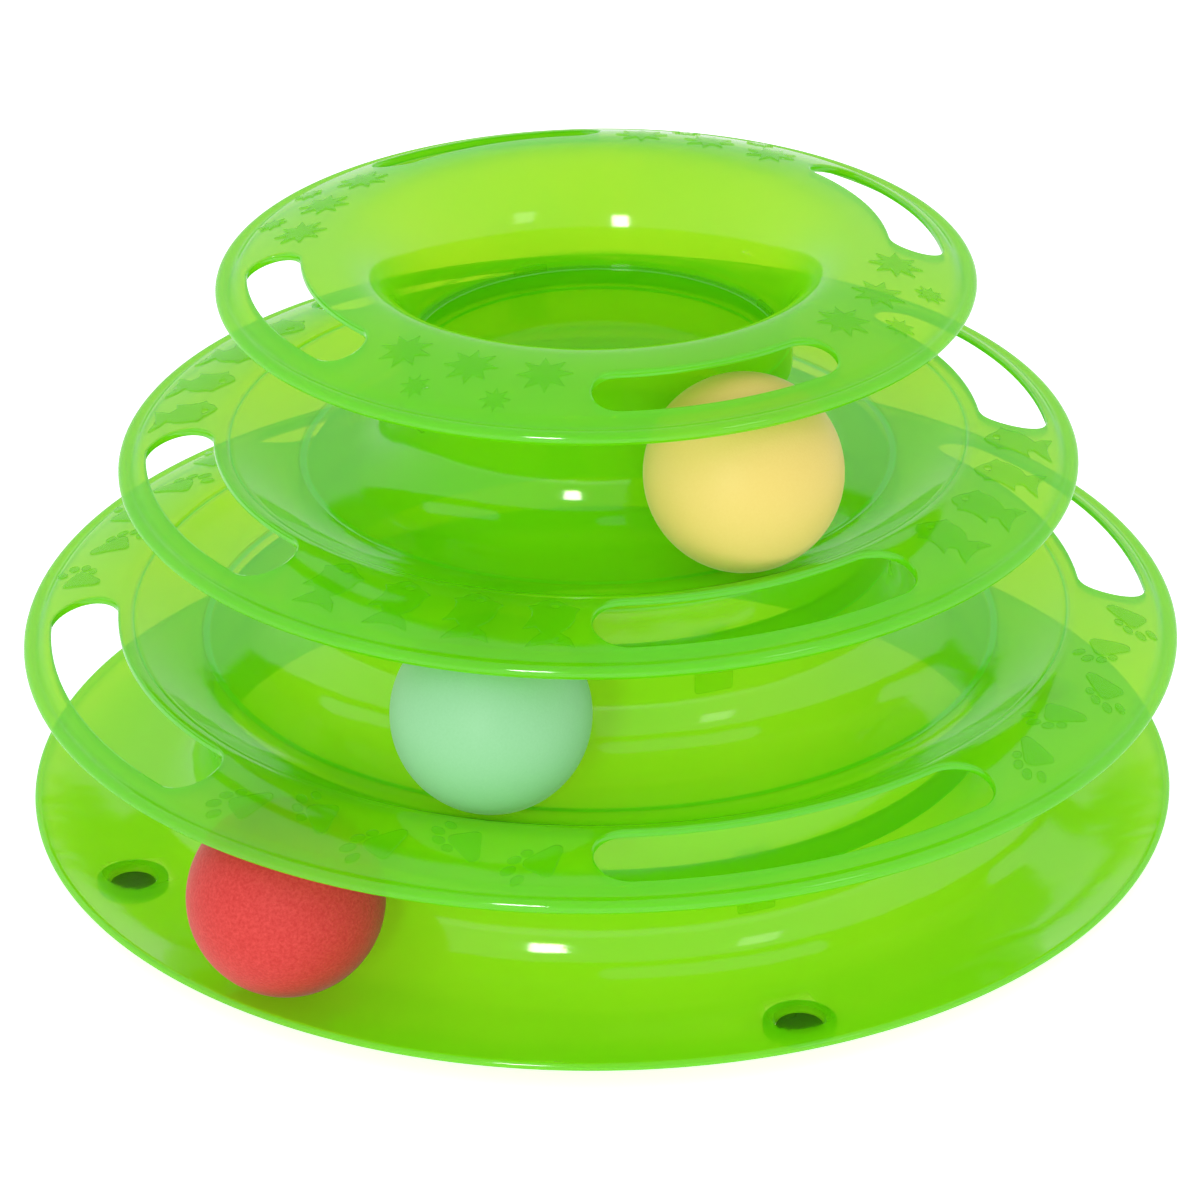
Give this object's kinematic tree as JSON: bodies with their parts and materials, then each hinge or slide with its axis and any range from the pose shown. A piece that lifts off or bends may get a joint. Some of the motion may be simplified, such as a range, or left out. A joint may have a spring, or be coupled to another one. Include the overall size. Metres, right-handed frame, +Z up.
{
  "type": "cat ball track toy",
  "caption": "Tapering tower of translucent slotted tiers on a ring base, with a ball running in the circular track under each tier, as a toy for a cat.",
  "frame": {"origin": "on the table under the middle of the tower, where the tower's upright axis meets the plane of the feet", "axes": "+Z up the tower's axis, -Y towards the side that the picture shows, +X to the right in it"},
  "size_m": [0.2466, 0.2466, 0.1301],
  "materials": {
    "tray_plastic": "glossy translucent injection moulding",
    "red_ball": "matte with a fine grain",
    "mint_ball": "fine matte",
    "yellow_ball": "fine matte",
    "foot_rubber": "matte"
  },
  "bodies": {
    "base": {"base_tray": "tray_plastic", "foot_1": "foot_rubber", "foot_2": "foot_rubber", "foot_3": "foot_rubber", "foot_4": "foot_rubber"},
    "lower": {"lower_tier": "tray_plastic"},
    "middle": {"middle_tier": "tray_plastic"},
    "top": {"top_tier": "tray_plastic"},
    "red": {"ball_red": "red_ball"},
    "mint": {"ball_mint": "mint_ball"},
    "yellow": {"ball_yellow": "yellow_ball"}
  },
  "joints": [
    {"name": "lower_lift", "type": "slide", "parent": "base", "child": "lower", "axis": [0, 0, 1], "range_m": [0, 0.02]},
    {"name": "middle_lift", "type": "slide", "parent": "lower", "child": "middle", "axis": [0, 0, 1], "range_m": [0, 0.02]},
    {"name": "top_lift", "type": "slide", "parent": "middle", "child": "top", "axis": [0, 0, 1], "range_m": [0, 0.02]},
    {"name": "red_orbit", "type": "hinge", "parent": "base", "child": "red", "pos_m": [0, 0, 0], "axis": [0, 0, 1], "continuous": true},
    {"name": "mint_orbit", "type": "hinge", "parent": "lower", "child": "mint", "pos_m": [0, 0, 0], "axis": [0, 0, 1], "continuous": true},
    {"name": "yellow_orbit", "type": "hinge", "parent": "middle", "child": "yellow", "pos_m": [0, 0, 0], "axis": [0, 0, 1], "continuous": true}
  ]
}
